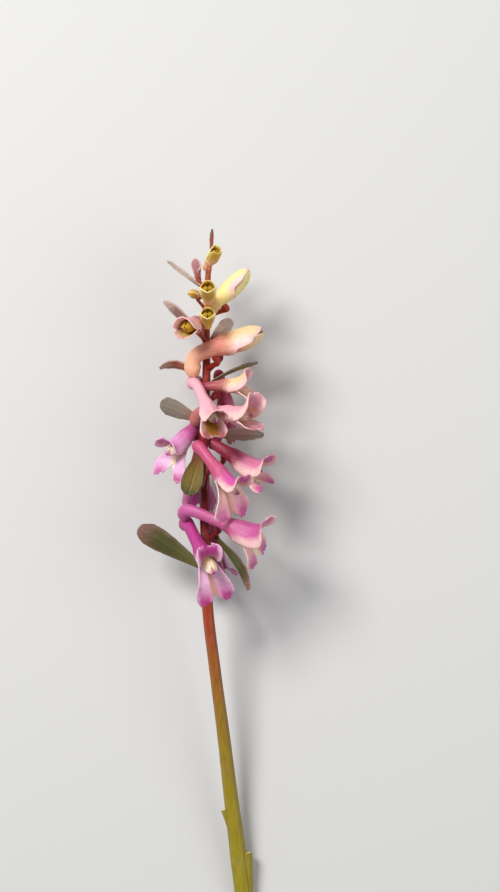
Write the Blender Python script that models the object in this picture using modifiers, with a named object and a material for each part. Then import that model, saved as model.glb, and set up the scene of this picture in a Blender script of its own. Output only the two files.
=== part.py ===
"""A picked spike of corydalis flowers, lying on its back on a flat surface.

The spike lies along Y with its tip at +Y, and +Z is up. The origin is under the middle of the whole
spike, on the surface. Sizes below are in millimetres and angles in degrees.

A flower has its own frame: its stalk meets it at the origin, +X runs forward to the mouth, +Z is the
side of the upper lip, and the spur runs back along -X. Its heading is the way it faces seen from
above (0 along +X, 90 along +Y), its lift is how far it looks up from the surface, and its roll
turns it about its own length. With no roll, the upper lip is on the side of the spike's tip.
"""

import math
from collections import namedtuple

import bmesh
import bpy
import numpy as np
from mathutils import Matrix, Vector

MM = 0.001
SPIKE = "corydalis_spike"

# The stem: its middle line as X, Y, Z, and its radius at each of those points
STEM_LINE = (
    (10.1, -90.8, 2.05, 2.3),
    (8.3, -77.0, 4.2, 2.15),
    (6.4, -62.0, 6.6, 1.85),
    (4.4, -45.0, 9.8, 1.65),
    (2.2, -28.0, 13.0, 1.5),
    (0.2, -11.0, 15.8, 1.45),
    (-0.2, 5.0, 17.2, 1.4),
    (-0.7, 20.0, 17.6, 1.3),
    (-1.0, 35.0, 17.4, 1.2),
    (-0.2, 50.0, 16.8, 1.1),
    (-0.2, 64.0, 16.0, 0.95),
    (0.1, 76.0, 15.4, 0.8),
    (0.6, 83.5, 15.2, 0.65),
)
STEM_STEPS = 2
STEM_SIDES = 8
LEAF_SCARS = (
    # Y of the torn end, reach of the stub below it, radius, side of the stem, stand-off from its middle
    (-77.5, 14.5, 1.45, 1.0, 2.3),
    (-65.8, 7.0, 0.75, -1.0, 2.35),
)

STALK_RADII = (0.6, 0.55, 0.6, 0.85)
STALK_TOP = 0.1
STALK_KNEE = (1.0, 2.2)
PETAL_THICKNESS = 0.65
BRACT_THICKNESS = 0.6
BRACT_GAP = 0.45

# The flower at full size. Where there are two rows, the first is for a bud and the second for an open
# flower, and a flower takes its place between them. Widths are half of the blade's, measured along its
# arch, and bends are how far the arch turns from the middle to the edge. All run from root to tip.
SPUR_START = -1.6
SPUR_LENGTH = (9.5, 13.0)
SPUR_RISE = (5.0, 5.0, 4.0, 0.0, 0.0, 0.0, 0.0)
SPUR_CURL = ((0.0, 0.1, 0.3, 0.5, 0.7, 0.88, 1.0), (0.0, 0.0, 0.0, 0.05, 0.25, 0.65, 1.0))
SPUR_RADII = (0.85, 1.5, 1.6, 1.5, 1.4, 1.38, 1.38, 1.42)
TUBE_HEIGHT = 1.9
TUBE_REACH = (0.6, 2.4, 4.0)
TUBE_RADII = (1.55, 1.95, 2.25)
UPPER_START = (1.9, 2.9)
UPPER_LENGTH = (9.2, 12.8)
UPPER_TURN = ((30, 14, 2, -3, -6, -6, 0), (24, 10, 2, 2, 28, 70, 76))
UPPER_WIDTHS = ((1.9, 4.0, 4.4, 4.3, 4.1, 3.7, 2.6), (1.9, 4.0, 4.4, 4.5, 4.5, 4.6, 3.4))
UPPER_BENDS = ((86, 94, 94, 92, 90, 86, 78), (86, 94, 96, 88, 66, 54, 46))
UPPER_REFLEX = (0, -4, -2, 26, 52, 50, 60)
UPPER_SHUT = (0, 0, 0, -2, -8, -32, -70)
LOWER_START = (1.2, 1.3)
LOWER_LENGTH = (10.0, 16.4)
LOWER_TURN = (-44, -26, -8, 3, 6, 4, -2)
LOWER_SHUT = (0, 0, 0, 2, 8, 32, 66)
LOWER_DROOP = (0.0, 0.0, 0.05, 0.45, 0.9, 1.0, 0.95)
LOWER_WIDTHS = ((1.2, 2.3, 3.1, 3.3, 3.3, 3.0, 2.2), (1.2, 2.1, 2.6, 3.4, 4.4, 4.9, 4.3))
LOWER_BENDS = ((70, 82, 86, 86, 84, 80, 72), (66, 74, 68, 46, 14, -12, -22))
UPPER_NOTCH = 0.10
LIP_CORNER = 0.2
UPPER_CELLS = (6, 4)
LOWER_CELLS = (6, 6)
BUD_CELLS = (4, 4)
INNER_START = 3.2
INNER_LENGTH = (6.6, 8.6)
INNER_HEIGHT = 1.55
INNER_RADII = (0.9, 1.25, 1.4, 1.3, 0.8)
POCKET_GAP = 0.3

Bloom = namedtuple(
    "Bloom", "name joint heading lift roll size openness droop spur curl notch foot reflex hood lip reach"
)
Bract = namedtuple("Bract", "name foot heading lift roll length half_width rise bow blunt")

# joint: where its stalk meets the flower. foot: how far along the stem, in Y, its stalk leaves.
# reflex: above 0, how far the upper lip rolls back, and below 0, how far the tips close. hood and lip:
# the widths of the upper and lower petals, and reach the upper petal's length, against the usual ones
BLOOMS = (
    Bloom("flower_01", (-2.3, 5.3, 20.4), -61, 46, 20, 1.1, 1.0, 50, 0.8, 120, 0.2, -3.0, 0.9, 0.82, 1.05, 0.84),
    Bloom("flower_02", (3.3, 11.5, 21.6), -20, 16, 46, 1.0, 1.0, 50, 0.95, 140, 0.2, 7.5, 0.1, 1.3, 1.2, 1.12),
    Bloom("flower_03", (0.9, 27.2, 24.5), -50, 24, 24, 1.0, 1.0, 30, 0.5, 50, 0.18, 21.0, 0.45, 0.88, 1.3, 1.0),
    Bloom("flower_04", (4.6, 30.2, 15.0), -30, 20, 26, 1.0, 1.0, -14, 0.32, 50, 0.3, 25.0, 0.0, 1.2, 1.0, 1.0),
    Bloom("flower_05", (-3.5, 36.4, 14.2), -134, 34, -24, 1.0, 1.0, 24, 0.4, 60, 0.36, 34.4, 0.1, 0.95, 1.1, 0.95),
    Bloom("flower_06", (-1.2, 44.6, 23.8), -64, 44, 6, 0.9, 0.6, 20, 0.9, 80, 0.2, 46.2, 0.3, 1.1, 1.1, 1.0),
    Bloom("flower_07", (3.3, 40.2, 24.0), -6, 38, 4, 1.0, 0.6, 6, 0.8, 110, 0.2, 38.5, 0.6, 1.22, 1.05, 1.08),
    Bloom("flower_08", (2.7, 47.9, 19.8), 5, 18, 20, 0.78, 0.7, 40, 0.4, 80, 0.3, 44.5, 0.2, 1.2, 1.1, 1.0),
    Bloom("flower_09", (2.4, 56.9, 19.9), 20, 12, 10, 1.32, 0.2, 12, 0.65, 120, 0.2, 54.0, -0.8, 1.2, 1.1, 1.0),
    Bloom("flower_10", (0.6, 8.5, 10.4), -80, -16, 0, 0.96, 1.0, 8, 0.38, 50, 0.2, 0.5, 0.0, 1.0, 1.0, 1.0),
    Bloom("flower_11", (-2.0, 30.9, 10.8), -92, -20, 0, 1.0, 1.0, 8, 0.35, 15, 0.2, 24.4, 0.0, 1.0, 1.0, 1.0),
    Bloom("flower_12", (3.0, 48.0, 9.25), -75, -18, 0, 0.95, 0.9, 8, 0.3, 60, 0.2, 42.5, 0.0, 1.0, 1.0, 1.0),
    Bloom("bud_01", (-1.9, 64.5, 19.8), 200, 66, 0, 0.98, 0.35, 10, 0.1, 5, 0.2, 61.0, 0.0, 1.05, 1.0, 1.0),
    Bloom("bud_02", (0.2, 67.6, 23.6), 88, 74, 180, 0.76, 0.1, 10, 0.1, 5, 0.2, 72.5, 0.0, 1.0, 1.0, 1.0),
    Bloom("bud_03", (4.7, 70.7, 18.8), 46, 12, 10, 1.12, 0.05, 10, 0.05, 5, 0.2, 68.3, -0.4, 0.9, 0.88, 1.0),
    Bloom("bud_04", (0.3, 74.0, 23.2), 90, 70, 180, 0.82, 0.1, 10, 0.1, 5, 0.2, 76.8, 0.0, 1.0, 1.0, 1.0),
    Bloom("bud_05", (-2.4, 72.8, 17.2), 160, 64, 0, 0.5, 0.0, 10, 0.15, 5, 0.2, 69.6, -1.0, 1.0, 1.0, 1.0),
    Bloom("bud_06", (0.6, 81.0, 19.4), 60, 52, 0, 0.66, 0.1, 8, 0.2, 10, 0.2, 75.5, 0.0, 1.0, 1.0, 1.0),
    Bloom("bud_07", (-2.8, 78.8, 16.8), 98, 20, 0, 0.48, 0.0, 8, 0.15, 5, 0.2, 75.0, -1.0, 1.0, 1.0, 1.0),
    Bloom("bud_08", (3.6, 57.4, 11.6), 20, -50, 0, 0.8, 0.2, 10, 0.3, 60, 0.2, 53.0, -1.0, 1.0, 1.0, 1.0),
    Bloom("bud_09", (-2.2, 49.3, 11.9), 160, -74, 0, 0.7, 0.2, 10, 0.2, 60, 0.2, 46.0, -1.0, 1.0, 1.0, 1.0),
)
CLOSED_BUDS = ("bud_05", "bud_07", "bud_08", "bud_09")

# foot: the Y at which it leaves the stem. blunt: from 0 for a pointed tip to 1 for a round one
BRACTS = (
    Bract("bract_01", 0.8, 149, -4, 76, 19.6, 3.2, 4, 10, 1.0),
    Bract("bract_02", 9.5, -46, 4, -64, 20.0, 1.4, -4, 50, 0.0),
    Bract("bract_03", 31.0, -106, 24, -40, 12.5, 3.0, 4, 20, 0.6),
    Bract("bract_04", 40.2, 160, -18, 60, 12.0, 2.9, 6, 10, 1.0),
    Bract("bract_05", 36.3, -2, -24, -70, 16.5, 1.9, 6, 10, 0.0),
    Bract("bract_06", 50.5, 22, -8, -14, 13.5, 2.2, 4, 10, 0.0),
    Bract("bract_07", 49.8, 168, -14, 34, 14.4, 2.1, 38, 84, 0.0),
    Bract("bract_08", 61.6, 42, -14, -70, 8.2, 2.2, 6, 10, 0.4),
    Bract("bract_09", 62.5, 136, -12, 60, 14.5, 1.6, 4, 12, 0.3),
    Bract("bract_10", 75.6, 142, 6, 50, 12.2, 0.75, 2, 6, 0.3),
    Bract("bract_11", 83.2, 88, 4, 0, 8.4, 0.5, 2, 6, 0.0),
    Bract("bract_12", 36.6, 0, 40, -20, 9.6, 2.1, 0, 60, 0.0),
)
BRACT_SHAPE = ((0.3, 0.5, 0.74, 0.92, 1.0, 0.8, 0.3), (0.3, 0.48, 0.68, 0.86, 1.0, 0.98, 0.72))
BRACT_NOTCH = (-0.06, 0.0)
BRACT_CORNER = (0.0, 0.14)
BRACT_BENDS = (30.0, 26.0, 20.0, 16.0, 14.0, 12.0, 10.0)
BRACT_CELLS = (6, 4)

# These touch the surface, and are trimmed to stand flat on it
RESTING = ("stem", "flower_11_outer_petals", "flower_12_outer_petals")


def clear_scene():
    """Removes whatever the scene holds."""
    for obj in list(bpy.data.objects):
        bpy.data.objects.remove(obj, do_unlink=True)


def collection_named(name):
    made = bpy.data.collections.new(name)
    bpy.context.scene.collection.children.link(made)
    return made


def finish_named(name, colour, roughness):
    """A Principled material of one colour."""
    made = bpy.data.materials.new(name)
    made.use_nodes = True
    shader = made.node_tree.nodes["Principled BSDF"]
    shader.inputs["Base Color"].default_value = (*colour, 1.0)
    shader.inputs["Roughness"].default_value = roughness
    shader.inputs["Metallic"].default_value = 0.0
    return made


def smooth_route(points, steps):
    """A Catmull-Rom curve through the points, with that many steps between each two."""
    known = [np.array(p, float) for p in points]
    known = [2 * known[0] - known[1], *known, 2 * known[-1] - known[-2]]
    route = []
    for before, start, end, after in zip(known, known[1:], known[2:], known[3:]):
        for t in np.linspace(0.0, 1.0, steps, endpoint=False):
            linear = (end - before) * t
            square = (2 * before - 5 * start + 4 * end - after) * t**2
            cube = (3 * start - before - 3 * end + after) * t**3
            route.append(start + 0.5 * (linear + square + cube))
    return [*route, known[-2]]


def turning_line(start, length, angles, steps):
    """Points in a flower's XZ plane, from start, that turn evenly through the angles as they go."""
    shares = np.linspace(0.0, 1.0, steps + 1)
    middle = (shares[:-1] + shares[1:]) / 2
    heading = np.radians(np.interp(middle, np.linspace(0.0, 1.0, len(angles)), angles))
    step = length / steps
    x = start[0] + np.concatenate([[0.0], np.cumsum(np.cos(heading)) * step])
    z = start[1] + np.concatenate([[0.0], np.cumsum(np.sin(heading)) * step])
    return np.stack([x, np.zeros(steps + 1), z], axis=1)


def between(pair, share):
    """The row, or the number, that lies that share of the way from the first of a pair to the second."""
    first, second = np.array(pair[0], float), np.array(pair[1], float)
    return first + (second - first) * share


def evaluated_copy(obj, name, collection):
    """A plain mesh object of what obj's curve or modifiers make, with its seams welded. obj is removed."""
    bpy.context.view_layer.update()
    graph = bpy.context.evaluated_depsgraph_get()
    mesh = bpy.data.meshes.new_from_object(obj.evaluated_get(graph))
    matrix = obj.matrix_world.copy()
    bpy.data.objects.remove(obj, do_unlink=True)
    work = bmesh.new()
    work.from_mesh(mesh)
    bmesh.ops.remove_doubles(work, verts=work.verts, dist=0.00001)
    bmesh.ops.recalc_face_normals(work, faces=work.faces)
    work.to_mesh(mesh)
    work.free()
    copy = bpy.data.objects.new(name, mesh)
    copy.matrix_world = matrix
    collection.objects.link(copy)
    return copy


def tube(name, points, radii, sides, collection):
    """A round tube along the points, with its own radius at each, as a mesh."""
    curve = bpy.data.curves.new(name, "CURVE")
    curve.dimensions = "3D"
    curve.bevel_depth = MM
    curve.bevel_resolution = (sides - 4) // 2
    curve.use_fill_caps = True
    spline = curve.splines.new("POLY")
    spline.points.add(len(points) - 1)
    for knot, point, radius in zip(spline.points, points, radii):
        knot.co = (*(Vector(point) * MM), 1.0)
        knot.radius = radius
    obj = bpy.data.objects.new(name, curve)
    collection.objects.link(obj)
    return evaluated_copy(obj, name, collection)


def blade(name, line, widths, bends, side, lip, cells, thickness, collection):
    """A petal or leaf: a grid along the line, arched to that side (1 up, -1 down) and given a thickness.

    lip holds how deep the tip's notch is and how far its corners are rounded, as shares of the length.
    """
    work = bmesh.new()
    bmesh.ops.create_grid(work, x_segments=cells[0], y_segments=cells[1], size=1.0)
    along = np.linspace(0.0, 1.0, len(line))
    slope = np.gradient(line, along, axis=0)
    marks = np.linspace(0.0, 1.0, len(widths))
    for vert in work.verts:
        across = vert.co.y
        reach = 1.0 - lip[0] * (1.0 - abs(across)) ** 2 - lip[1] * across**4
        share = (vert.co.x + 1.0) / 2 * reach
        middle = np.array([np.interp(share, along, line[:, k]) for k in range(3)])
        ahead = np.array([np.interp(share, along, slope[:, k]) for k in range(3)])
        ahead /= np.linalg.norm(ahead)
        up = np.array([-ahead[2], 0.0, ahead[0]]) * side
        bend = math.radians(np.interp(share, marks, bends)) or 1e-6
        radius = np.interp(share, marks, widths) / bend
        place = middle + up * radius * (1.0 - math.cos(across * bend))
        place[1] += radius * math.sin(across * bend)
        vert.co = Vector(place) * MM
    mesh = bpy.data.meshes.new(name)
    work.to_mesh(mesh)
    work.free()
    obj = bpy.data.objects.new(name, mesh)
    collection.objects.link(obj)
    wall = obj.modifiers.new("thickness", "SOLIDIFY")
    wall.thickness = thickness * MM
    wall.offset = 0.0
    return evaluated_copy(obj, name, collection)


def drop_scraps(mesh):
    """Keeps only the largest connected piece of a mesh, because a Boolean can leave specks beside it."""
    work = bmesh.new()
    work.from_mesh(mesh)
    left = set(work.verts)
    groups = []
    while left:
        group = {left.pop()}
        edge_of_group = list(group)
        while edge_of_group:
            vert = edge_of_group.pop()
            for edge in vert.link_edges:
                other = edge.other_vert(vert)
                if other in left:
                    left.remove(other)
                    group.add(other)
                    edge_of_group.append(other)
        groups.append(group)
    largest = max(groups, key=len)
    scraps = [vert for vert in work.verts if vert not in largest]
    bmesh.ops.delete(work, geom=scraps, context="VERTS")
    work.to_mesh(mesh)
    work.free()


def joined(name, pieces, collection, cutter=None):
    """One solid of all the pieces, less the cutter."""
    first, others = pieces[0], pieces[1:]
    helpers = bpy.data.collections.new("to_join")
    bpy.context.scene.collection.children.link(helpers)
    for piece in others:
        helpers.objects.link(piece)
    union = first.modifiers.new("join", "BOOLEAN")
    union.operation = "UNION"
    union.operand_type = "COLLECTION"
    union.collection = helpers
    if cutter:
        pocket = first.modifiers.new("pocket", "BOOLEAN")
        pocket.operation = "DIFFERENCE"
        pocket.object = cutter
    result = evaluated_copy(first, name, collection)
    for piece in [*others, *([cutter] if cutter else [])]:
        bpy.data.objects.remove(piece, do_unlink=True)
    bpy.data.collections.remove(helpers)
    drop_scraps(result.data)
    return result


def facing(heading, lift, roll):
    """The rotation that turns a flower's own frame to that heading, lift and roll."""
    h, e = math.radians(heading), math.radians(lift)
    ahead = Vector((math.cos(e) * math.cos(h), math.cos(e) * math.sin(h), math.sin(e)))
    tip = Vector((0.0, 1.0, 0.0))
    up = (tip - ahead * tip.dot(ahead)).normalized()
    up = Matrix.Rotation(math.radians(roll), 3, ahead) @ up
    return Matrix((ahead, up.cross(ahead), up)).transposed()


def placement(joint, turn):
    return Matrix.Translation(Vector(joint) * MM) @ turn.to_4x4()


def stem_at(y):
    """The stem's middle and radius at that Y."""
    route = np.array(smooth_route(STEM_LINE, 6))
    return [float(np.interp(y, route[:, 1], route[:, k])) for k in range(4)]


def spur_and_tube(bloom, collection):
    """The upper petal's spur, and the tube that runs forward from it to the mouth."""
    turns = np.array(SPUR_RISE) - between(SPUR_CURL, bloom.openness) * bloom.curl
    length = between(SPUR_LENGTH, bloom.openness) * bloom.spur
    back = turning_line((-SPUR_START, TUBE_HEIGHT), length, turns, 7) * (-1.0, 1.0, 1.0)
    front = [(x, 0.0, TUBE_HEIGHT - 0.04 * x) for x in TUBE_REACH]
    points = np.array([*back[::-1], *front]) * bloom.size
    radii = np.array([*SPUR_RADII, *TUBE_RADII]) * bloom.size
    return tube(bloom.name, points, radii, 8, collection)


def upper_petal(bloom, collection):
    """The hood over the mouth, and the lip that turns up from its end."""
    length = between(UPPER_LENGTH, bloom.openness) * bloom.size * bloom.reach
    folding = UPPER_REFLEX if bloom.reflex > 0 else UPPER_SHUT
    turns = between(UPPER_TURN, bloom.openness) + np.array(folding) * abs(bloom.reflex)
    line = turning_line(np.array(UPPER_START) * bloom.size, length, turns, 14)
    widths = between(UPPER_WIDTHS, bloom.openness) * bloom.size * bloom.hood
    bends = between(UPPER_BENDS, bloom.openness)
    lip = (UPPER_NOTCH * bloom.openness, LIP_CORNER)
    cells = BUD_CELLS if bloom.name.startswith("bud") else UPPER_CELLS
    name = bloom.name + "_upper"
    return blade(name, line, widths, bends, -1.0, lip, cells, PETAL_THICKNESS, collection)


def lower_petal(bloom, collection):
    """The trough under the mouth, and the two-lobed lip that hangs from its end."""
    length = between(LOWER_LENGTH, bloom.openness) * bloom.size
    drooping = np.array(LOWER_TURN[:2] + (-10,) * 5) - np.array(LOWER_DROOP) * bloom.droop
    turns = between((LOWER_TURN, drooping), bloom.openness)
    turns += np.array(LOWER_SHUT) * max(0.0, -bloom.reflex)
    line = turning_line(np.array(LOWER_START) * bloom.size, length, turns, 14)
    widths = between(LOWER_WIDTHS, bloom.openness) * bloom.size * bloom.lip
    bends = between(LOWER_BENDS, bloom.openness)
    lip = (bloom.notch * bloom.openness, LIP_CORNER)
    cells = BUD_CELLS if bloom.name.startswith("bud") else LOWER_CELLS
    name = bloom.name + "_lower"
    return blade(name, line, widths, bends, 1.0, lip, cells, PETAL_THICKNESS, collection)


def inner_petals(bloom, name, gap, collection):
    """The two inner petals, which meet in a beak in the mouth. With a gap, the pocket round them."""
    reach = between(INNER_LENGTH, bloom.openness)
    shares = np.linspace(0.0, 1.0, len(INNER_RADII))
    points = [(INNER_START + reach * t, 0.0, INNER_HEIGHT + 0.3 * t) for t in shares]
    points = np.array(points) * bloom.size
    radii = np.array(INNER_RADII) * bloom.size + gap
    if gap:
        points[0, 0] -= gap
        points = points[:3]
        radii = radii[:3]
    return tube(name, points, radii, 6, collection)


def build_bloom(bloom, collection):
    """A flower's outer petals as one solid, and its inner petals as another that sits in their mouth."""
    place = placement(bloom.joint, facing(bloom.heading, bloom.lift, bloom.roll))
    pieces = [
        spur_and_tube(bloom, collection),
        upper_petal(bloom, collection),
        lower_petal(bloom, collection),
    ]
    if bloom.name in CLOSED_BUDS:
        whole = joined(bloom.name, pieces, collection)
        whole.matrix_world = place
        return [whole]
    cutter = inner_petals(bloom, bloom.name + "_pocket", POCKET_GAP, collection)
    outer = joined(bloom.name + "_outer_petals", pieces, collection, cutter)
    inner = inner_petals(bloom, bloom.name + "_inner_petals", 0.0, collection)
    outer.matrix_world = place
    inner.matrix_world = place
    return [outer, inner]


def flower_stalk(bloom, collection):
    """The stalk from the stem's middle to just under a flower."""
    up = facing(bloom.heading, bloom.lift, bloom.roll) @ Vector((0.0, 0.0, 1.0))
    top = Vector(bloom.joint) + up * STALK_TOP
    knee = top - up * between(STALK_KNEE, bloom.openness) * bloom.size
    foot = Vector(stem_at(bloom.foot)[:3])
    route = (foot, foot.lerp(knee, 0.6), knee, top)
    radii = [radius * (0.4 + 0.6 * bloom.size) for radius in STALK_RADII]
    return tube("stalk", route, radii, 6, collection)


def leaf_scar(top, reach, radius, side, stand_off, collection):
    """The stub of a torn-off leaf, pressed against one side of the stem."""
    points = []
    for t in (0.0, 0.5, 1.0):
        x, y, z, _ = stem_at(top - reach * (1.0 - t))
        points.append((x + side * stand_off * (0.35 + 0.65 * t), y, z))
    return tube("scar", points, (radius * 0.9, radius, radius * 0.95), 6, collection)


def build_stem(collection):
    """The stem with its leaf scars and the stalk of every flower, as the one piece that it grew as."""
    route = smooth_route(STEM_LINE, STEM_STEPS)
    axis = tube("stem", [p[:3] for p in route], [p[3] for p in route], STEM_SIDES, collection)
    scars = [leaf_scar(*scar, collection) for scar in LEAF_SCARS]
    stalks = [flower_stalk(bloom, collection) for bloom in BLOOMS]
    return joined("stem", [axis, *scars, *stalks], collection)


def build_bract(bract, collection):
    """A bract: a small undivided leaf whose foot stands against the stem."""
    turns = (bract.rise, bract.rise, bract.rise - bract.bow * 0.5, bract.rise - bract.bow)
    line = turning_line((0.0, 0.0), bract.length, turns, 10)
    widths = between(BRACT_SHAPE, bract.blunt) * bract.half_width
    lip = (between(BRACT_NOTCH, bract.blunt), between(BRACT_CORNER, bract.blunt))
    name = bract.name
    leaf = blade(name, line, widths, BRACT_BENDS, 1.0, lip, BRACT_CELLS, BRACT_THICKNESS, collection)
    x, y, z, radius = stem_at(bract.foot)
    turn = facing(bract.heading, bract.lift, bract.roll)
    out = turn @ Vector((1.0, 0.0, 0.0))
    out.y = 0.0
    out.normalize()
    foot = Vector((x, y, z)) + out * (radius + BRACT_GAP)
    leaf.matrix_world = placement(foot, turn)
    return leaf


def trim_flat(obj, collection):
    """Cuts away what of obj would be under the surface."""
    size = (0.2, 0.3, 0.02)
    bpy.ops.mesh.primitive_cube_add(size=1.0, location=(0.0, 0.0, -size[2] / 2), scale=size)
    below = bpy.context.object
    cut = obj.modifiers.new("flat", "BOOLEAN")
    cut.operation = "DIFFERENCE"
    cut.object = below
    flat = evaluated_copy(obj, obj.name, collection)
    bpy.data.objects.remove(below, do_unlink=True)
    return flat


def paint(obj, finish):
    obj.data.materials.clear()
    obj.data.materials.append(finish)
    obj.data.shade_smooth()
    obj.data.set_sharp_from_angle(angle=math.radians(50))


def main():
    clear_scene()
    parts = collection_named(SPIKE)
    stem_finish = finish_named("stem_red_green", (0.30, 0.13, 0.04), 0.45)
    pink = finish_named("petal_pink", (0.62, 0.20, 0.42), 0.5)
    peach = finish_named("bud_peach", (0.78, 0.50, 0.26), 0.5)
    cream = finish_named("inner_cream", (0.80, 0.66, 0.46), 0.5)
    olive = finish_named("bract_olive", (0.14, 0.12, 0.06), 0.55)
    made = [(build_stem(parts), stem_finish)]
    for bloom in BLOOMS:
        outer, *inner = build_bloom(bloom, parts)
        made.append((outer, pink if bloom.name.startswith("flower") else peach))
        made.extend((petals, cream) for petals in inner)
    made.extend((build_bract(bract, parts), olive) for bract in BRACTS)
    for obj, finish in made:
        if obj.name in RESTING:
            obj = trim_flat(obj, parts)
        paint(obj, finish)


main()
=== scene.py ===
# %% [markdown]
# # A corydalis flower spike
#
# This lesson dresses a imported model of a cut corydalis, a small spring flower. It lies on a pale
# table and the camera looks straight down on it. The spike has twelve flowers and nine buds, a
# bare red and green stem, and twelve small leaves, the bracts, under some of them.
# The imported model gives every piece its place. Each cell below makes one kind of piece or finish.

import math
from collections import namedtuple

import bmesh
import bpy
import numpy as np
from mathutils import Matrix, Vector


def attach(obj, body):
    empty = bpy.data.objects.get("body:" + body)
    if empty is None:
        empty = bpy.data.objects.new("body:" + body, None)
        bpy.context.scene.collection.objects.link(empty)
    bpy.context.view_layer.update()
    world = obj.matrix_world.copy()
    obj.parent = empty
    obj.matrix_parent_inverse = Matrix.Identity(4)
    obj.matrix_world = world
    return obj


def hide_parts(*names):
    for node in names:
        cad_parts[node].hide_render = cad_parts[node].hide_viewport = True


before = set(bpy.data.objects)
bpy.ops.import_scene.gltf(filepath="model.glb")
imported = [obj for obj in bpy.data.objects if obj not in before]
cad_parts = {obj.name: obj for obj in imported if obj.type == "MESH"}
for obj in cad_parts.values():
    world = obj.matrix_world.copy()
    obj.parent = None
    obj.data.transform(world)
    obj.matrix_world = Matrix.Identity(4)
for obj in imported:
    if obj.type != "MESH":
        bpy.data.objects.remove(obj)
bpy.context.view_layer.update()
MM = 0.001

# %% [markdown]
# ## Camera, table and light
#
# The photograph is taken square on, with the spike running up the picture. A flower lying on a
# table looks the same from straight above, so the camera hangs over it and looks down. A long
# lens is used, because a short one would show the near flowers too large beside the stem.

# %% Camera
PIXEL = 0.27 * MM
PICTURE = (500, 892)
PICTURE_ORIGIN = (207.0, 568.5)
CAMERA_HEIGHT = 1.6
FLOWER_HEIGHT = 17.0 * MM
scene = bpy.context.scene
scene.view_settings.view_transform = "Standard"
camera_data = bpy.data.cameras.new("camera_above")
camera_data.sensor_width = 36.0
camera_data.lens = 36.0 * (CAMERA_HEIGHT - FLOWER_HEIGHT) / (PICTURE[1] * PIXEL)
camera = bpy.data.objects.new("camera_above", camera_data)
camera.location = (
    (PICTURE[0] / 2 - PICTURE_ORIGIN[0]) * PIXEL,
    (PICTURE_ORIGIN[1] - PICTURE[1] / 2) * PIXEL,
    CAMERA_HEIGHT,
)
scene.collection.objects.link(camera)
scene.camera = camera
print("lens:", round(camera_data.lens, 1), "mm")

# %% [markdown]
# A wide soft lamp from the upper left gives petals a bright side and a shaded side. A weaker one
# from the right keeps the shade open, and a pale world fills what is left. The lamps are large
# beside the flower, so that the shadows on the table are soft.

# %% Table and lamps
def lamp(name, place, size, watts):
    data = bpy.data.lights.new(name, "AREA")
    data.shape = "DISK"
    data.size = size
    data.energy = watts
    obj = bpy.data.objects.new(name, data)
    obj.location = place
    obj.rotation_euler = (Vector((0.0, 0.03, 0.01)) - Vector(place)).to_track_quat("-Z", "Y").to_euler()
    scene.collection.objects.link(obj)
    return obj


table_mesh = bpy.data.meshes.new("table")
table_mesh.from_pydata([(-3, -3, 0), (3, -3, 0), (3, 3, 0), (-3, 3, 0)], [], [(0, 1, 2, 3)])
table = bpy.data.objects.new("table", table_mesh)
scene.collection.objects.link(table)
table_paint = bpy.data.materials.new("table_paint")
table_paint.use_nodes = True
table_paint.node_tree.nodes["Principled BSDF"].inputs["Base Color"].default_value = (0.62, 0.61, 0.59, 1)
table_paint.node_tree.nodes["Principled BSDF"].inputs["Roughness"].default_value = 0.75
table.data.materials.append(table_paint)
lamp("key_lamp", (-0.45, 0.5, 0.75), 0.42, 10.5)
lamp("fill_lamp", (0.6, -0.1, 0.55), 0.6, 1.8)
world = bpy.data.worlds.new("studio")
world.use_nodes = True
world.node_tree.nodes["Background"].inputs["Color"].default_value = (0.9, 0.93, 1.0, 1)
world.node_tree.nodes["Background"].inputs["Strength"].default_value = 0.34
scene.world = world

# %% [markdown]
# ## The spike's layout
#
# A gardener would describe each flower by where its stalk holds it, which way its mouth points
# and how far it has opened. The tables say just that, in millimetres and degrees. Their numbers
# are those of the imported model, so that each fine piece lands on its plain one. Only flower_09
# and bud_03 are drawn further together at the tip, because their thin petals have the room.

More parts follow.
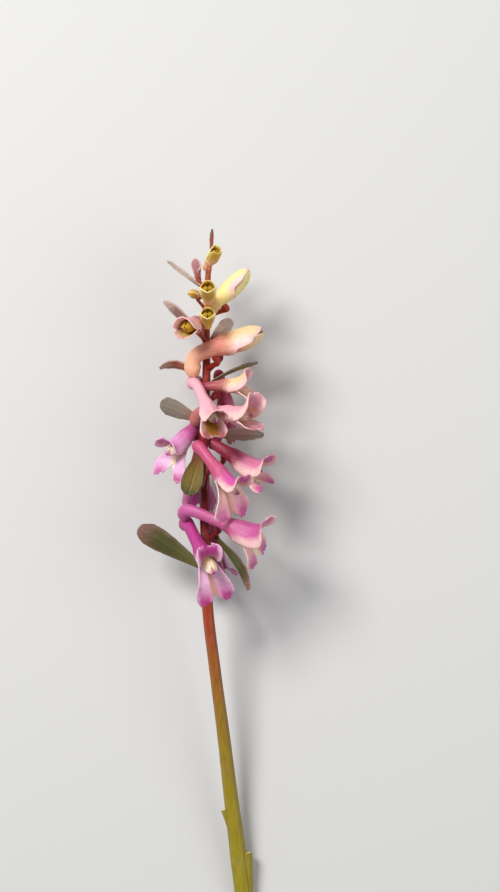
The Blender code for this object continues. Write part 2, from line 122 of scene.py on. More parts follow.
# %% Table of flowers and buds
# joint is where the stalk meets the tube, and heading, lift and roll turn the flower. size scales
# all of it, and openness goes from 0 to 1. droop, curl and reflex bend the lower lip, the spur and
# the upper lip, and a reflex under 0 shuts both lips. notch is the depth of the cut in the lower
# lip. spur, hood, lip and reach scale the lengths and widths of single petals, and foot is the Y
# at which the stalk leaves the stem.
Bloom = namedtuple(
    "Bloom", "name joint heading lift roll size openness droop spur curl notch foot reflex hood lip reach"
)
BLOOM_ROWS = (
    ("flower_01", (-2.3, 5.3, 20.4), -61, 46, 20, 1.1, 1, 50, 0.8, 120, 0.2, -3, 0.9, 0.82, 1.05, 0.84),
    ("flower_02", (3.3, 11.5, 21.6), -20, 16, 46, 1, 1, 50, 0.95, 140, 0.2, 7.5, 0.1, 1.3, 1.2, 1.12),
    ("flower_03", (0.9, 27.2, 24.5), -50, 24, 24, 1, 1, 30, 0.5, 50, 0.18, 21, 0.45, 0.88, 1.3, 1),
    ("flower_04", (4.6, 30.2, 15), -30, 20, 26, 1, 1, -14, 0.32, 50, 0.3, 25, 0, 1.2, 1, 1),
    ("flower_05", (-3.5, 36.4, 14.2), -134, 34, -24, 1, 1, 24, 0.4, 60, 0.36, 34.4, 0.1, 0.95, 1.1, 0.95),
    ("flower_06", (-1.2, 44.6, 23.8), -64, 44, 6, 0.9, 0.6, 20, 0.9, 80, 0.2, 46.2, 0.3, 1.1, 1.1, 1),
    ("flower_07", (3.3, 40.2, 24), -6, 38, 4, 1, 0.6, 6, 0.8, 110, 0.2, 38.5, 0.6, 1.22, 1.05, 1.08),
    ("flower_08", (2.7, 47.9, 19.8), 5, 18, 20, 0.78, 0.7, 40, 0.4, 80, 0.3, 44.5, 0.2, 1.2, 1.1, 1),
    ("flower_09", (2.4, 56.9, 19.9), 20, 12, 10, 1.32, 0.2, 12, 0.65, 120, 0.2, 54, -1.05, 1.2, 1.1, 1),
    ("flower_10", (0.6, 8.5, 10.4), -80, -16, 0, 0.96, 1, 8, 0.38, 50, 0.2, 0.5, 0, 1, 1, 1),
    ("flower_11", (-2, 30.9, 10.8), -92, -20, 0, 1, 1, 8, 0.35, 15, 0.2, 24.4, 0, 1, 1, 1),
    ("flower_12", (3, 48, 9.25), -75, -18, 0, 0.95, 0.9, 8, 0.3, 60, 0.2, 42.5, 0, 1, 1, 1),
    ("bud_01", (-1.9, 64.5, 19.8), 200, 66, 0, 0.98, 0.35, 10, 0.1, 5, 0.2, 61, 0, 1.05, 1, 1),
    ("bud_02", (0.2, 67.6, 23.6), 88, 74, 180, 0.76, 0.1, 10, 0.1, 5, 0.2, 72.5, 0, 1, 1, 1),
    ("bud_03", (4.7, 70.7, 18.8), 46, 12, 10, 1.12, 0.05, 10, 0.05, 5, 0.2, 68.3, -0.9, 0.9, 0.88, 1),
    ("bud_04", (0.3, 74, 23.2), 90, 70, 180, 0.82, 0.1, 10, 0.1, 5, 0.2, 76.8, 0, 1, 1, 1),
    ("bud_05", (-2.4, 72.8, 17.2), 160, 64, 0, 0.5, 0, 10, 0.15, 5, 0.2, 69.6, -1, 1, 1, 1),
    ("bud_06", (0.6, 81, 19.4), 60, 52, 0, 0.66, 0.1, 8, 0.2, 10, 0.2, 75.5, 0, 1, 1, 1),
    ("bud_07", (-2.8, 78.8, 16.8), 98, 20, 0, 0.48, 0, 8, 0.15, 5, 0.2, 75, -1, 1, 1, 1),
    ("bud_08", (3.6, 57.4, 11.6), 20, -50, 0, 0.8, 0.2, 10, 0.3, 60, 0.2, 53, -1, 1, 1, 1),
    ("bud_09", (-2.2, 49.3, 11.9), 160, -74, 0, 0.7, 0.2, 10, 0.2, 60, 0.2, 46, -1, 1, 1, 1),
)
BLOOMS = [Bloom(*row) for row in BLOOM_ROWS]
CLOSED_BUDS = ("bud_05", "bud_07", "bud_08", "bud_09")
print("blooms:", len(BLOOMS))

# %% [markdown]
# The bracts are described in the same way. The stem needs only its middle line and its thickness,
# and everything else is hung on that line.

# %% Table of bracts, and the line of the stem
# rise and bow say how a bract arches, and blunt goes from 0, a pointed tip, to 1, a round one
Bract = namedtuple("Bract", "name foot heading lift roll length half_width rise bow blunt")
BRACT_ROWS = (
    ("bract_01", 0.8, 149, -4, 76, 19.6, 3.2, 4, 10, 1.0),
    ("bract_02", 9.5, -46, 4, -64, 20.0, 1.4, -4, 50, 0.0),
    ("bract_03", 31.0, -106, 24, -40, 12.5, 3.0, 4, 20, 0.6),
    ("bract_04", 40.2, 160, -18, 60, 12.0, 2.9, 6, 10, 1.0),
    ("bract_05", 36.3, -2, -24, -70, 16.5, 1.9, 6, 10, 0.0),
    ("bract_06", 50.5, 22, -8, -14, 13.5, 2.2, 4, 10, 0.0),
    ("bract_07", 49.8, 168, -14, 34, 14.4, 2.1, 38, 84, 0.0),
    ("bract_08", 61.6, 42, -14, -70, 8.2, 2.2, 6, 10, 0.4),
    ("bract_09", 62.5, 136, -12, 60, 14.5, 1.6, 4, 12, 0.3),
    ("bract_10", 75.6, 142, 6, 50, 12.2, 0.75, 2, 6, 0.3),
    ("bract_11", 83.2, 88, 4, 0, 8.4, 0.5, 2, 6, 0.0),
    ("bract_12", 36.6, 0, 40, -20, 9.6, 2.1, 0, 60, 0.0),
)
BRACTS = [Bract(*row) for row in BRACT_ROWS]
# Middle of the stem (X, Y, Z) and its radius, from the cut end to the tip
STEM_LINE = (
    (10.1, -90.8, 2.05, 2.3),
    (8.3, -77.0, 4.2, 2.15),
    (6.4, -62.0, 6.6, 1.85),
    (4.4, -45.0, 9.8, 1.65),
    (2.2, -28.0, 13.0, 1.5),
    (0.2, -11.0, 15.8, 1.45),
    (-0.2, 5.0, 17.2, 1.4),
    (-0.7, 20.0, 17.6, 1.3),
    (-1.0, 35.0, 17.4, 1.2),
    (-0.2, 50.0, 16.8, 1.1),
    (-0.2, 64.0, 16.0, 0.95),
    (0.1, 76.0, 15.4, 0.8),
    (0.6, 83.5, 15.2, 0.65),
)
print("bracts:", len(BRACTS), "stem:", round(STEM_LINE[-1][1] - STEM_LINE[0][1], 1), "mm")

# %% [markdown]
# A few helpers turn the tables into lines. The first draws a smooth curve through points, and the
# second lays a line that turns as it goes. facing() finds a flower's own frame, in which X is the
# way its mouth points and Z is towards its back.

# %% Helpers for lines and directions
def smooth_route(points, steps):
    """A Catmull-Rom curve through the points, with that many steps between each two."""
    known = [np.array(p, float) for p in points]
    known = [2 * known[0] - known[1], *known, 2 * known[-1] - known[-2]]
    route = []
    for before, start, end, after in zip(known, known[1:], known[2:], known[3:]):
        for t in np.linspace(0.0, 1.0, steps, endpoint=False):
            linear = (end - before) * t
            square = (2 * before - 5 * start + 4 * end - after) * t**2
            cube = (3 * start - before - 3 * end + after) * t**3
            route.append(start + 0.5 * (linear + square + cube))
    return np.array([*route, known[-2]])


def turning_line(start, length, angles, steps):
    """Points in a flower's XZ plane, from start, that turn evenly through the angles as they go."""
    shares = np.linspace(0.0, 1.0, steps + 1)
    middle = (shares[:-1] + shares[1:]) / 2
    heading = np.radians(np.interp(middle, np.linspace(0.0, 1.0, len(angles)), angles))
    step = length / steps
    x = start[0] + np.concatenate([[0.0], np.cumsum(np.cos(heading)) * step])
    z = start[1] + np.concatenate([[0.0], np.cumsum(np.sin(heading)) * step])
    return np.stack([x, np.zeros(steps + 1), z], axis=1)


def between(pair, share):
    """The row, or the number, that lies that share of the way from the first of a pair to the second."""
    first, second = np.array(pair[0], float), np.array(pair[1], float)
    return first + (second - first) * share


def facing(heading, lift, roll):
    """The rotation that turns a flower's own frame to that heading, lift and roll."""
    h, e = math.radians(heading), math.radians(lift)
    ahead = Vector((math.cos(e) * math.cos(h), math.cos(e) * math.sin(h), math.sin(e)))
    tip = Vector((0.0, 1.0, 0.0))
    up = (tip - ahead * tip.dot(ahead)).normalized()
    up = Matrix.Rotation(math.radians(roll), 3, ahead) @ up
    return Matrix((ahead, up.cross(ahead), up)).transposed()


def stem_at(y):
    """The stem's middle and radius at that Y."""
    return [float(np.interp(y, STEM_ROUTE[:, 1], STEM_ROUTE[:, k])) for k in range(4)]


def smooth_step(share):
    share = np.clip(share, 0.0, 1.0)
    return share * share * (3.0 - 2.0 * share)


STEM_ROUTE = smooth_route(STEM_LINE, steps=12)
print("stem points:", len(STEM_ROUTE))

# %% [markdown]
# ## Node trees without clicking
#
# A node tree can be clicked together, but in a script it can be read like a sum. A Wire below is
# an output that can be added, multiplied and so on as a number can, and each sign adds one Math
# node. An input that gets a Wire is linked, and one that gets a number or a name is set.

# %% Wires and sums
class Wire:
    """A node's output. Sums with it add Math nodes to its tree."""

    def __init__(self, socket):
        self.socket = socket
        self.tree = socket.id_data

    def __add__(self, other):
        return calc("ADD", self, other)

    def __sub__(self, other):
        return calc("SUBTRACT", self, other)

    def __rsub__(self, other):
        return calc("SUBTRACT", other, self)

    def __mul__(self, other):
        return calc("MULTIPLY", self, other)

    def __truediv__(self, other):
        return calc("DIVIDE", self, other)

    def __rtruediv__(self, other):
        return calc("DIVIDE", other, self)

    def __pow__(self, other):
        return calc("POWER", self, other)

    def __abs__(self):
        return calc("ABSOLUTE", self)


def feed(socket, value):
    """Links a Wire to an input, or sets the input's own value."""
    if isinstance(value, Wire):
        socket.id_data.links.new(value.socket, socket)
    else:
        socket.default_value = value


def add(tree, kind, inputs=(), out=0, **settings):
    """A node of that kind with its settings and inputs. inputs is a dictionary of name or number."""
    made = tree.nodes.new(kind)
    for key, value in settings.items():
        setattr(made, key, value)
    for place, value in dict(inputs).items():
        feed(made.inputs[place], value)
    return Wire(made.outputs[out])


def home(values):
    """The tree that the first Wire among the values belongs to."""
    return next(value.tree for value in values if isinstance(value, Wire))


def calc(operation, *values, clamp=False):
    """A Math node."""
    return add(home(values), "ShaderNodeMath", dict(enumerate(values)), operation=operation, use_clamp=clamp)


def arrow(operation, *values):
    """A Vector Math node. SCALE takes a vector and a number."""
    places = (0, 3) if operation == "SCALE" else (0, 1)
    return add(home(values), "ShaderNodeVectorMath", dict(zip(places, values)), operation=operation)


def vector(*values):
    """A vector of three values."""
    return add(home(values), "ShaderNodeCombineXYZ", dict(enumerate(values)))


def parts_of(wire):
    """The X, Y and Z of a vector."""
    node = wire.tree.nodes.new("ShaderNodeSeparateXYZ")
    feed(node.inputs[0], wire)
    return [Wire(socket) for socket in node.outputs]


def ease(value, low, high):
    """Goes smoothly from 0 at low to 1 at high."""
    inputs = {0: value, 1: low, 2: high}
    return add(value.tree, "ShaderNodeMapRange", inputs, interpolation_type="SMOOTHSTEP")


def noise(place, scale, detail, **more):
    """A noise texture, read at a place."""
    return add(place.tree, "ShaderNodeTexNoise", {"Vector": place, "Scale": scale, "Detail": detail, **more})


# %% [markdown]
# A tree starts with named sockets, and every geometry tree here ends in the same three nodes. They
# leave real geometry with a material, of which a plain mesh can be made.

# %% Helpers for whole trees
SOCKET_TYPES = {float: "Float", int: "Int", tuple: "Color"}


def new_tree(name, kind, inputs, outputs):
    """A node group, its inputs as Wires, and its output node.

    inputs and outputs give every socket by its name, with a default value or only its type.
    """
    tree = bpy.data.node_groups.new(name, kind)
    for direction, sockets in (("INPUT", inputs), ("OUTPUT", outputs)):
        for label, default in sockets.items():
            known = SOCKET_TYPES.get(type(default), default)
            made = tree.interface.new_socket(label, in_out=direction, socket_type="NodeSocket" + known)
            if known is not default:
                made.default_value = default
    given = {socket.name: Wire(socket) for socket in tree.nodes.new("NodeGroupInput").outputs}
    return tree, given, tree.nodes.new("NodeGroupOutput")


def store(geometry, name, value, kind="FLOAT"):
    """The geometry with a named attribute on its points."""
    inputs = {"Geometry": geometry, "Name": name, "Value": value}
    return add(geometry.tree, "GeometryNodeStoreNamedAttribute", inputs, data_type=kind, domain="POINT")


def close_tree(geometry, given, end):
    """Ends a tree: smooth shading, real geometry in place of instances, and the material."""
    tree = geometry.tree
    geometry = add(tree, "GeometryNodeSetShadeSmooth", {"Geometry": geometry})
    geometry = add(tree, "GeometryNodeRealizeInstances", {"Geometry": geometry})
    geometry = add(tree, "GeometryNodeSetMaterial", {"Geometry": geometry, "Material": given["Material"]})
    feed(end.inputs[0], geometry)
    return tree


# %% [markdown]
# ## One rule for every petal and leaf
#
# A petal is a thin sheet with a middle line, a width and an arch. The same is true of the bracts,
# and even of the spur, which is the back of the upper petal rolled into a tube: an arch of 180
# degrees to each side meets itself below. So one tree makes them all from a curve. A point's
# radius holds half the width of the sheet there, its tilt holds how far the edge bends round, and
# its Y, which no petal needs for itself, holds the sheet's heading there in radians.
# The tree lays a grid along the curve, arches each row, cuts the notch and rounds the corners of
# the tip, raises a keel, and lets the free edge wave a little, as no living petal is quite even.

# %% The petal tree
def petal_tree():
    tree, given, end = new_tree(
        "petal sheet",
        "GeometryNodeTree",
        {
            "Curve": "Geometry", "Cells along": 60, "Cells across": 24, "Side": 1.0, "Notch": 0.1,
            "Corner": 0.2, "Lip start": 0.0, "Joint at": 0.0, "Spur share": 0.0, "Wave": 0.2,
            "Ragged": 0.05, "Keel": 0.0, "Keel width": 0.2, "Seed": 0.0, "Material": "Material",
        },
        {"Mesh": "Geometry"},
    )
    rows = given["Cells along"] + 1
    columns = given["Cells across"] + 1
    grid = add(tree, "GeometryNodeMeshGrid", {0: 1.0, 1: 2.0, 2: rows, 3: columns})
    along_grid, across, _ = parts_of(add(tree, "GeometryNodeInputPosition"))
    share = along_grid + 0.5
    far = abs(across)

    # Cut the notch, the corners and small uneven tears out of the lip's end
    notch = (1.0 - far) ** 2.0 * given["Notch"]
    corner = far ** 4.0 * given["Corner"]
    lip = calc("MAXIMUM", share - given["Lip start"], 0.0)
    tear = noise(vector(across * 3.2, 0.0, given["Seed"]), 1.7, 1.2)
    tear = calc("SUBTRACT", tear, 0.35, clamp=True) * given["Ragged"]
    along = share - (notch + corner + tear) * lip

    # Read the line, its half-width and its bend there
    sizes = vector(add(tree, "GeometryNodeInputRadius"), add(tree, "GeometryNodeInputCurveTilt"))
    line = tree.nodes.new("GeometryNodeSampleCurve")
    line.data_type = "FLOAT_VECTOR"
    line.mode = "FACTOR"
    feed(line.inputs["Curves"], given["Curve"])
    feed(line.inputs["Value"], sizes)
    feed(line.inputs["Factor"], along)
    half_width, bend, _ = parts_of(Wire(line.outputs["Value"]))
    centre = Wire(line.outputs["Position"])
    radius = half_width / bend
    angle = across * bend

    # Arch the row to that side of the line, square to the heading that the line's Y holds
    sideways = (0.0, 1.0, 0.0)
    heading = parts_of(centre)[1]
    up = vector(calc("SINE", heading) * -1.0, 0.0, calc("COSINE", heading))
    up = arrow("SCALE", up, given["Side"])
    base = arrow("MULTIPLY", centre, (1.0, 0.0, 1.0))
    half_sine = calc("SINE", angle * 0.5)
    rise = radius * 2.0 * half_sine ** 2.0
    out = radius * calc("SINE", angle)
    place = arrow("ADD", base, arrow("SCALE", up, rise))
    place = arrow("ADD", place, arrow("SCALE", sideways, out))
    inward = arrow("SCALE", up, calc("COSINE", angle))
    inward = arrow("SUBTRACT", inward, arrow("SCALE", sideways, calc("SINE", angle)))

    # Wave the free edge and raise the keel
    spot = vector(along * 5.0, across, given["Seed"])
    swing = (noise(spot, 1.6, 2.0) - 0.5) * 2.0
    swing = swing + (noise(spot, 4.6, 1.0) - 0.5) * 0.9
    loose = ease(share, given["Lip start"], 1.0) * far ** 1.5
    wave = swing * loose * given["Wave"]
    ridge = 1.0 - ease(far, 0.0, given["Keel width"])
    keel = ridge * given["Keel"] * ease(along, 0.0, 0.6)
    place = arrow("ADD", place, arrow("SCALE", inward, wave - keel))

    # Note where each point lies on the petal, for the paint
    before = calc("DIVIDE", along, given["Joint at"], clamp=True)
    rest = 1.0 - given["Joint at"]
    after = calc("DIVIDE", along - given["Joint at"], rest, clamp=True)
    first = before * given["Spur share"]
    second = after * (1.0 - given["Spur share"])
    length = add(tree, "GeometryNodeCurveLength", {0: given["Curve"]})
    sheet = store(grid, "along", first + second)
    sheet = store(sheet, "across", across)
    lay = vector(along * length, across * half_width, given["Seed"] * 7.0)
    sheet = store(sheet, "lay", lay, "FLOAT_VECTOR")
    sheet = add(tree, "GeometryNodeSetPosition", {"Geometry": sheet, "Position": place})
    sheet = add(tree, "GeometryNodeMergeByDistance", {"Geometry": sheet, "Distance": 0.004})
    return close_tree(sheet, given, end)


PETAL_TREE = petal_tree()
print("petal tree:", len(PETAL_TREE.nodes), "nodes")

# %% [markdown]
# The attributes called along, across and lay survive into the mesh. The paint reads them later, so
# a vein or a pale rim follows the petal wherever it bends. The next helpers hand a line to a tree,
# set the tree's inputs by their identifiers, turn the result into a plain mesh and thicken it.

# %% From a line to a plain mesh
def plain(obj):
    """The plain mesh of an object with its modifier. Both the modifier and the object go away."""
    scene.collection.objects.link(obj)
    bpy.context.view_layer.update()
    graph = bpy.context.evaluated_depsgraph_get()
    mesh = bpy.data.meshes.new_from_object(obj.evaluated_get(graph))
    obj.modifiers.remove(obj.modifiers[0])
    bpy.data.objects.remove(obj, do_unlink=True)
    return mesh


def shape_from(tree, name, points, radii, tilts, settings):
    """The plain mesh that a tree makes of a line with a radius and a tilt at each point."""
    curve = bpy.data.curves.new(name, "CURVE")
    curve.dimensions = "3D"
    spline = curve.splines.new("POLY")
    spline.points.add(len(points) - 1)
    for knot, point, radius, tilt in zip(spline.points, points, radii, tilts):
        knot.co = (*point, 1.0)
        knot.radius = radius
        knot.tilt = tilt
    obj = bpy.data.objects.new(name, curve)
    nodes = obj.modifiers.new("shape", "NODES")
    nodes.node_group = tree
    keys = {item.name: item.identifier for item in tree.interface.items_tree if item.in_out == "INPUT"}
    for label, value in settings.items():
        nodes[keys[label]] = value
    mesh = plain(obj)
    bpy.data.curves.remove(curve)
    mesh.materials.clear()
    mesh.materials.append(settings["Material"])
    mesh.polygons.foreach_set("material_index", np.zeros(len(mesh.polygons), dtype=np.int32))
    return mesh


def thicken(mesh, thickness, name, inner_on_top=False):
    """Gives a sheet its two faces. The inner one is marked by the attribute called inside."""
    obj = bpy.data.objects.new(name, mesh)
    mesh.materials.append(mesh.materials[0])
    wall = obj.modifiers.new("thickness", "SOLIDIFY")
    wall.thickness = thickness
    wall.offset = 0.0
    wall.material_offset = 1
    solid = plain(obj)
    bpy.data.meshes.remove(mesh)
    inner = np.zeros(len(solid.polygons), dtype=np.int32)
    solid.polygons.foreach_get("material_index", inner)
    inside = solid.attributes.new("inside", "FLOAT", "FACE")
    inside.data.foreach_set("value", (1 - inner if inner_on_top else inner).astype(np.float32))
    solid.polygons.foreach_set("material_index", np.zeros(len(inner), dtype=np.int32))
    solid.materials.pop(index=1)
    return solid


def mark(mesh, name, value):
    """Gives every point of a mesh the same number, under that name."""
    attribute = mesh.attributes.new(name, "FLOAT", "POINT")
    attribute.data.foreach_set("value", np.full(len(mesh.vertices), value, dtype=np.float32))


# %% [markdown]
# A piece is one or more meshes welded into one object. It stands at the origin and its place is in
# its mesh, in metres. Where a petal would sink into the table it is pressed up smoothly, as the
# weight of the spike presses the lowest petals flat.

# %% From meshes to a piece
PRESS = 0.35 * MM


def press_up(mesh):
    """Squeezes what is close to the table or under it into a thin layer above it."""
    points = np.empty(len(mesh.vertices) * 3)
    mesh.vertices.foreach_get("co", points)
    points = points.reshape(-1, 3)
    low = points[:, 2] < PRESS
    points[low, 2] = PRESS * np.exp((points[low, 2] - PRESS) / PRESS)
    mesh.vertices.foreach_set("co", points.ravel())


def piece(name, meshes, node):
    """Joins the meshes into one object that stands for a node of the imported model."""
    parts = []
    for mesh in meshes:
        part = bpy.data.objects.new(name, mesh)
        scene.collection.objects.link(part)
        parts.append(part)
    if len(parts) > 1:
        with bpy.context.temp_override(
            active_object=parts[0], object=parts[0], selected_objects=parts, selected_editable_objects=parts
        ):
            bpy.ops.object.join()
    obj = parts[0]
    obj.name = name
    obj.data.name = name
    press_up(obj.data)
    obj.data.update()
    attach(obj, "root")
    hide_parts(node)
    return obj


# %% [markdown]
# ## Shapes of the petals
#
# A corydalis flower has four petals. The upper one runs back into a long curved spur that holds
# the nectar, arches forward as a hood, and turns up at its lip. The lower one is a trough that
# spreads into two lobes. Between them two small inner petals close over the stamens like a beak.
# The numbers below are for a flower of ordinary size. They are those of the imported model, apart
# from thinner petals and a fuller end of the spur. Where a length or a row comes twice, the first
# is for a closed bud and the second for an open flower.

# %% Numbers of the petals
SPUR_START = -1.6
SPUR_LENGTH = (9.5, 13.0)
SPUR_RISE = (5.0, 5.0, 4.0, 0.0, 0.0, 0.0, 0.0)
SPUR_CURL = ((0.0, 0.1, 0.3, 0.5, 0.7, 0.88, 1.0), (0.0, 0.0, 0.0, 0.05, 0.25, 0.65, 1.0))
SPUR_RADII = (1.4, 1.55, 1.6, 1.5, 1.4, 1.38, 1.38, 1.42)
SPUR_CAP = 1.7
SPUR_STEPS = len(SPUR_RADII) - 1
TUBE_HEIGHT = 1.9
TUBE_SLOPE = -0.04
TUBE_REACH = (0.6, 2.4, 4.0, 5.8)
TUBE_RADII = (1.55, 1.95, 2.25, 2.3)
HOOD_BLEND = (2.4, 5.6)
HOOD_BLEND_STEPS = 13
UPPER_START = (1.9, 2.9)
UPPER_LENGTH = (9.2, 12.8)
UPPER_TURN = ((30, 14, 2, -3, -6, -6, 0), (24, 10, 2, 2, 28, 70, 76))
UPPER_REFLEX = (0, -4, -2, 26, 52, 50, 60)
UPPER_SHUT = (0, 0, 0, -2, -8, -32, -70)
UPPER_WIDTHS = ((1.9, 4.0, 4.4, 4.3, 4.1, 3.7, 2.6), (1.9, 4.0, 4.4, 4.5, 4.5, 4.6, 3.4))
UPPER_BENDS = ((86, 94, 94, 92, 90, 86, 78), (86, 94, 96, 88, 66, 54, 46))
LOWER_START = (1.2, 1.3)
LOWER_LENGTH = (10.0, 16.4)
LOWER_TURN = ((-44, -26, -8, 3, 6, 4, -2), (-44, -26, -10, -10, -10, -10, -10))
LOWER_SHUT = (0, 0, 0, 2, 8, 32, 66)
LOWER_DROOP = (0.0, 0.0, 0.05, 0.45, 0.9, 1.0, 0.95)
LOWER_WIDTHS = ((1.2, 2.3, 3.1, 3.3, 3.3, 3.0, 2.2), (1.2, 2.1, 2.6, 3.4, 4.4, 4.9, 4.3))
LOWER_BENDS = ((70, 82, 86, 86, 84, 80, 72), (66, 74, 68, 46, 14, -12, -22))
UPPER_NOTCH = 0.10
LIP_CORNER = 0.2
INNER_START = 3.2
INNER_LENGTH = (6.6, 8.6)
INNER_HEIGHT = 1.55
INNER_RISE = 0.3
PETAL_THICKNESS = 0.3 * MM
INNER_THICKNESS = 0.25 * MM
BRACT_THICKNESS = 0.35 * MM
SPUR_SHARE = 0.4
STEPS = 70


def headed(line):
    """The line with its own heading, in radians, written into its Y."""
    slope = np.gradient(line, axis=0)
    line = line.copy()
    line[:, 1] = np.unwrap(np.arctan2(slope[:, 2], slope[:, 0]))
    return line


def over_table(table, count):
    """A row of a table, spread smoothly over that many points."""
    row = np.asarray(table, float)
    return np.interp(np.linspace(0.0, 1.0, count), np.linspace(0.0, 1.0, len(row)), row)


def run_along(points):
    """How far along its line each point lies."""
    return np.concatenate([[0.0], np.cumsum(np.linalg.norm(np.diff(points, axis=0), axis=1))])


def sheet(name, line, widths, bends, cells, seed, finish, **shape):
    """A petal or leaf. shape holds the tree's other inputs by name, with _ for each space."""
    settings = {"Cells along": cells[0], "Cells across": cells[1], "Seed": float(seed), "Material": finish}
    for label, value in shape.items():
        settings[label.replace("_", " ").capitalize()] = float(value)
    return shape_from(PETAL_TREE, name, line, widths, bends, settings)


# %% [markdown]
# The upper petal is one sheet from the tip of the spur to the end of the lip. Its line runs along
# the spur's back, over the tube and out along the hood. On the spur the sheet bends 180 degrees to
# each side and closes. From the tube onwards it opens, and the lower petal takes over below.

# %% Upper petal
def upper_petal(bloom, finish, seed):
    size = bloom.size
    turns = np.array(SPUR_RISE) - between(SPUR_CURL, bloom.openness) * bloom.curl
    spur_length = between(SPUR_LENGTH, bloom.openness) * bloom.spur
    back = turning_line((-SPUR_START, TUBE_HEIGHT), spur_length, turns, SPUR_STEPS) * (-1.0, 1.0, 1.0)
    front = [(x, 0.0, TUBE_HEIGHT + TUBE_SLOPE * x) for x in TUBE_REACH]
    middle = np.array([*back[::-1], *front])
    girth = np.array([*SPUR_RADII, *TUBE_RADII])
    core = smooth_route(np.column_stack([middle, girth]), steps=10) * size
    run = run_along(core[:, :3])
    cap = SPUR_CAP * size * min(1.0, spur_length / 3.0)
    near = np.clip(1.0 - run / cap, 0.0, 1.0)
    core[:, 3] *= np.sqrt(1.0 - near**2)
    slope = np.gradient(core[:, :3], axis=0)
    slope /= np.linalg.norm(slope, axis=1, keepdims=True)
    normal = np.stack([-slope[:, 2], np.zeros(len(slope)), slope[:, 0]], axis=1)
    ridge = core[:, :3] + normal * core[:, 3:]
    core_heading = np.unwrap(np.arctan2(slope[:, 2], slope[:, 0]))
    core_heading -= 2 * math.pi * round(core_heading[-1] / (2 * math.pi))

    length = between(UPPER_LENGTH, bloom.openness) * size * bloom.reach
    turns = between(UPPER_TURN, bloom.openness)
    turns += np.array(UPPER_REFLEX if bloom.reflex > 0 else UPPER_SHUT) * abs(bloom.reflex)
    hood = turning_line(np.array(UPPER_START) * size, length, turns, STEPS)
    hood_width = over_table(between(UPPER_WIDTHS, bloom.openness) * size * bloom.hood, STEPS + 1)
    hood_bend = np.radians(over_table(between(UPPER_BENDS, bloom.openness), STEPS + 1))

    low, high = HOOD_BLEND[0] * size, HOOD_BLEND[1] * size
    tube = core[:, 0] <= low
    xs = np.linspace(low, high, HOOD_BLEND_STEPS + 1)[1:]
    mix = smooth_step((xs - low) / (high - low))
    rising = slice(int(np.argmax(ridge[:, 0] > 0.0)), None)
    tube_z = np.interp(xs, ridge[rising, 0], ridge[rising, 2])
    tube_r = np.interp(xs, ridge[rising, 0], core[rising, 3])
    hood = headed(hood)
    front = slice(0, int(np.argmax(hood[:, 0] > high)) + 1)
    hood_z, hood_y, wide, bend = (
        np.interp(xs, hood[front, 0], row[front]) for row in (hood[:, 2], hood[:, 1], hood_width, hood_bend)
    )
    joining = np.stack([xs, hood_y * mix, tube_z + (hood_z - tube_z) * mix], axis=1)
    free = np.arange(len(hood)) >= front.stop
    ridge[:, 1] = core_heading
    points = np.concatenate([ridge[tube], joining, hood[free]])
    closed = math.pi * tube_r
    widths = np.concatenate([math.pi * core[tube, 3], closed + (wide - closed) * mix, hood_width[free]])
    bends = np.concatenate([np.full(tube.sum(), math.pi), math.pi + (bend - math.pi) * mix, hood_bend[free]])
    widths = np.maximum(widths, 0.01)
    share = run_along(points)
    share /= share[-1]
    return sheet(
        bloom.name, points, widths, bends, cells=(96, 28), seed=seed, finish=finish, side=-1.0,
        notch=UPPER_NOTCH * bloom.openness, corner=LIP_CORNER,
        lip_start=np.interp(low, points[:, 0], share), joint_at=np.interp(0.0, points[:, 0], share),
        spur_share=SPUR_SHARE, wave=0.5 * size * (0.3 + 0.7 * bloom.openness),
        ragged=0.24 * bloom.openness, keel=0.22 * size, keel_width=0.16,
    )


# %% [markdown]
# The lower petal starts under the tube. Its two lobes come from a notch in the end of the sheet,
# and a negative bend near the end lets them curl the other way, down over the edge.

# %% Lower petal
def lower_petal(bloom, finish, seed):
    size = bloom.size
    drooping = np.array(LOWER_TURN[1]) - np.array(LOWER_DROOP) * bloom.droop
    turns = between((LOWER_TURN[0], drooping), bloom.openness)
    turns += np.array(LOWER_SHUT) * max(0.0, -bloom.reflex)
    length = between(LOWER_LENGTH, bloom.openness) * size
    line = turning_line(np.array(LOWER_START) * size, length, turns, STEPS)
    widths = over_table(between(LOWER_WIDTHS, bloom.openness) * size * bloom.lip, STEPS + 1)
    bends = np.radians(over_table(between(LOWER_BENDS, bloom.openness), STEPS + 1))
    return sheet(
        bloom.name, headed(line), widths, bends, cells=(56, 32), seed=seed + 0.5, finish=finish, side=1.0,
        notch=bloom.notch * bloom.openness, corner=LIP_CORNER,
        wave=0.6 * size * (0.2 + 0.8 * bloom.openness), ragged=0.26 * bloom.openness,
        keel=0.2 * size, keel_width=0.14,
    )


# %% [markdown]
# Each inner petal is a small spoon. The pair closes into a beak: the sheet bends a quarter turn to
# each side of its middle line, and the second one is the first turned half round the beak.

# %% Inner petals
BEAK_RADII = ((0.75, 1.0, 1.35, 1.6, 1.75, 1.8, 1.5, 0.08), (0.75, 0.95, 1.25, 1.42, 1.4, 1.25, 0.95, 0.25))


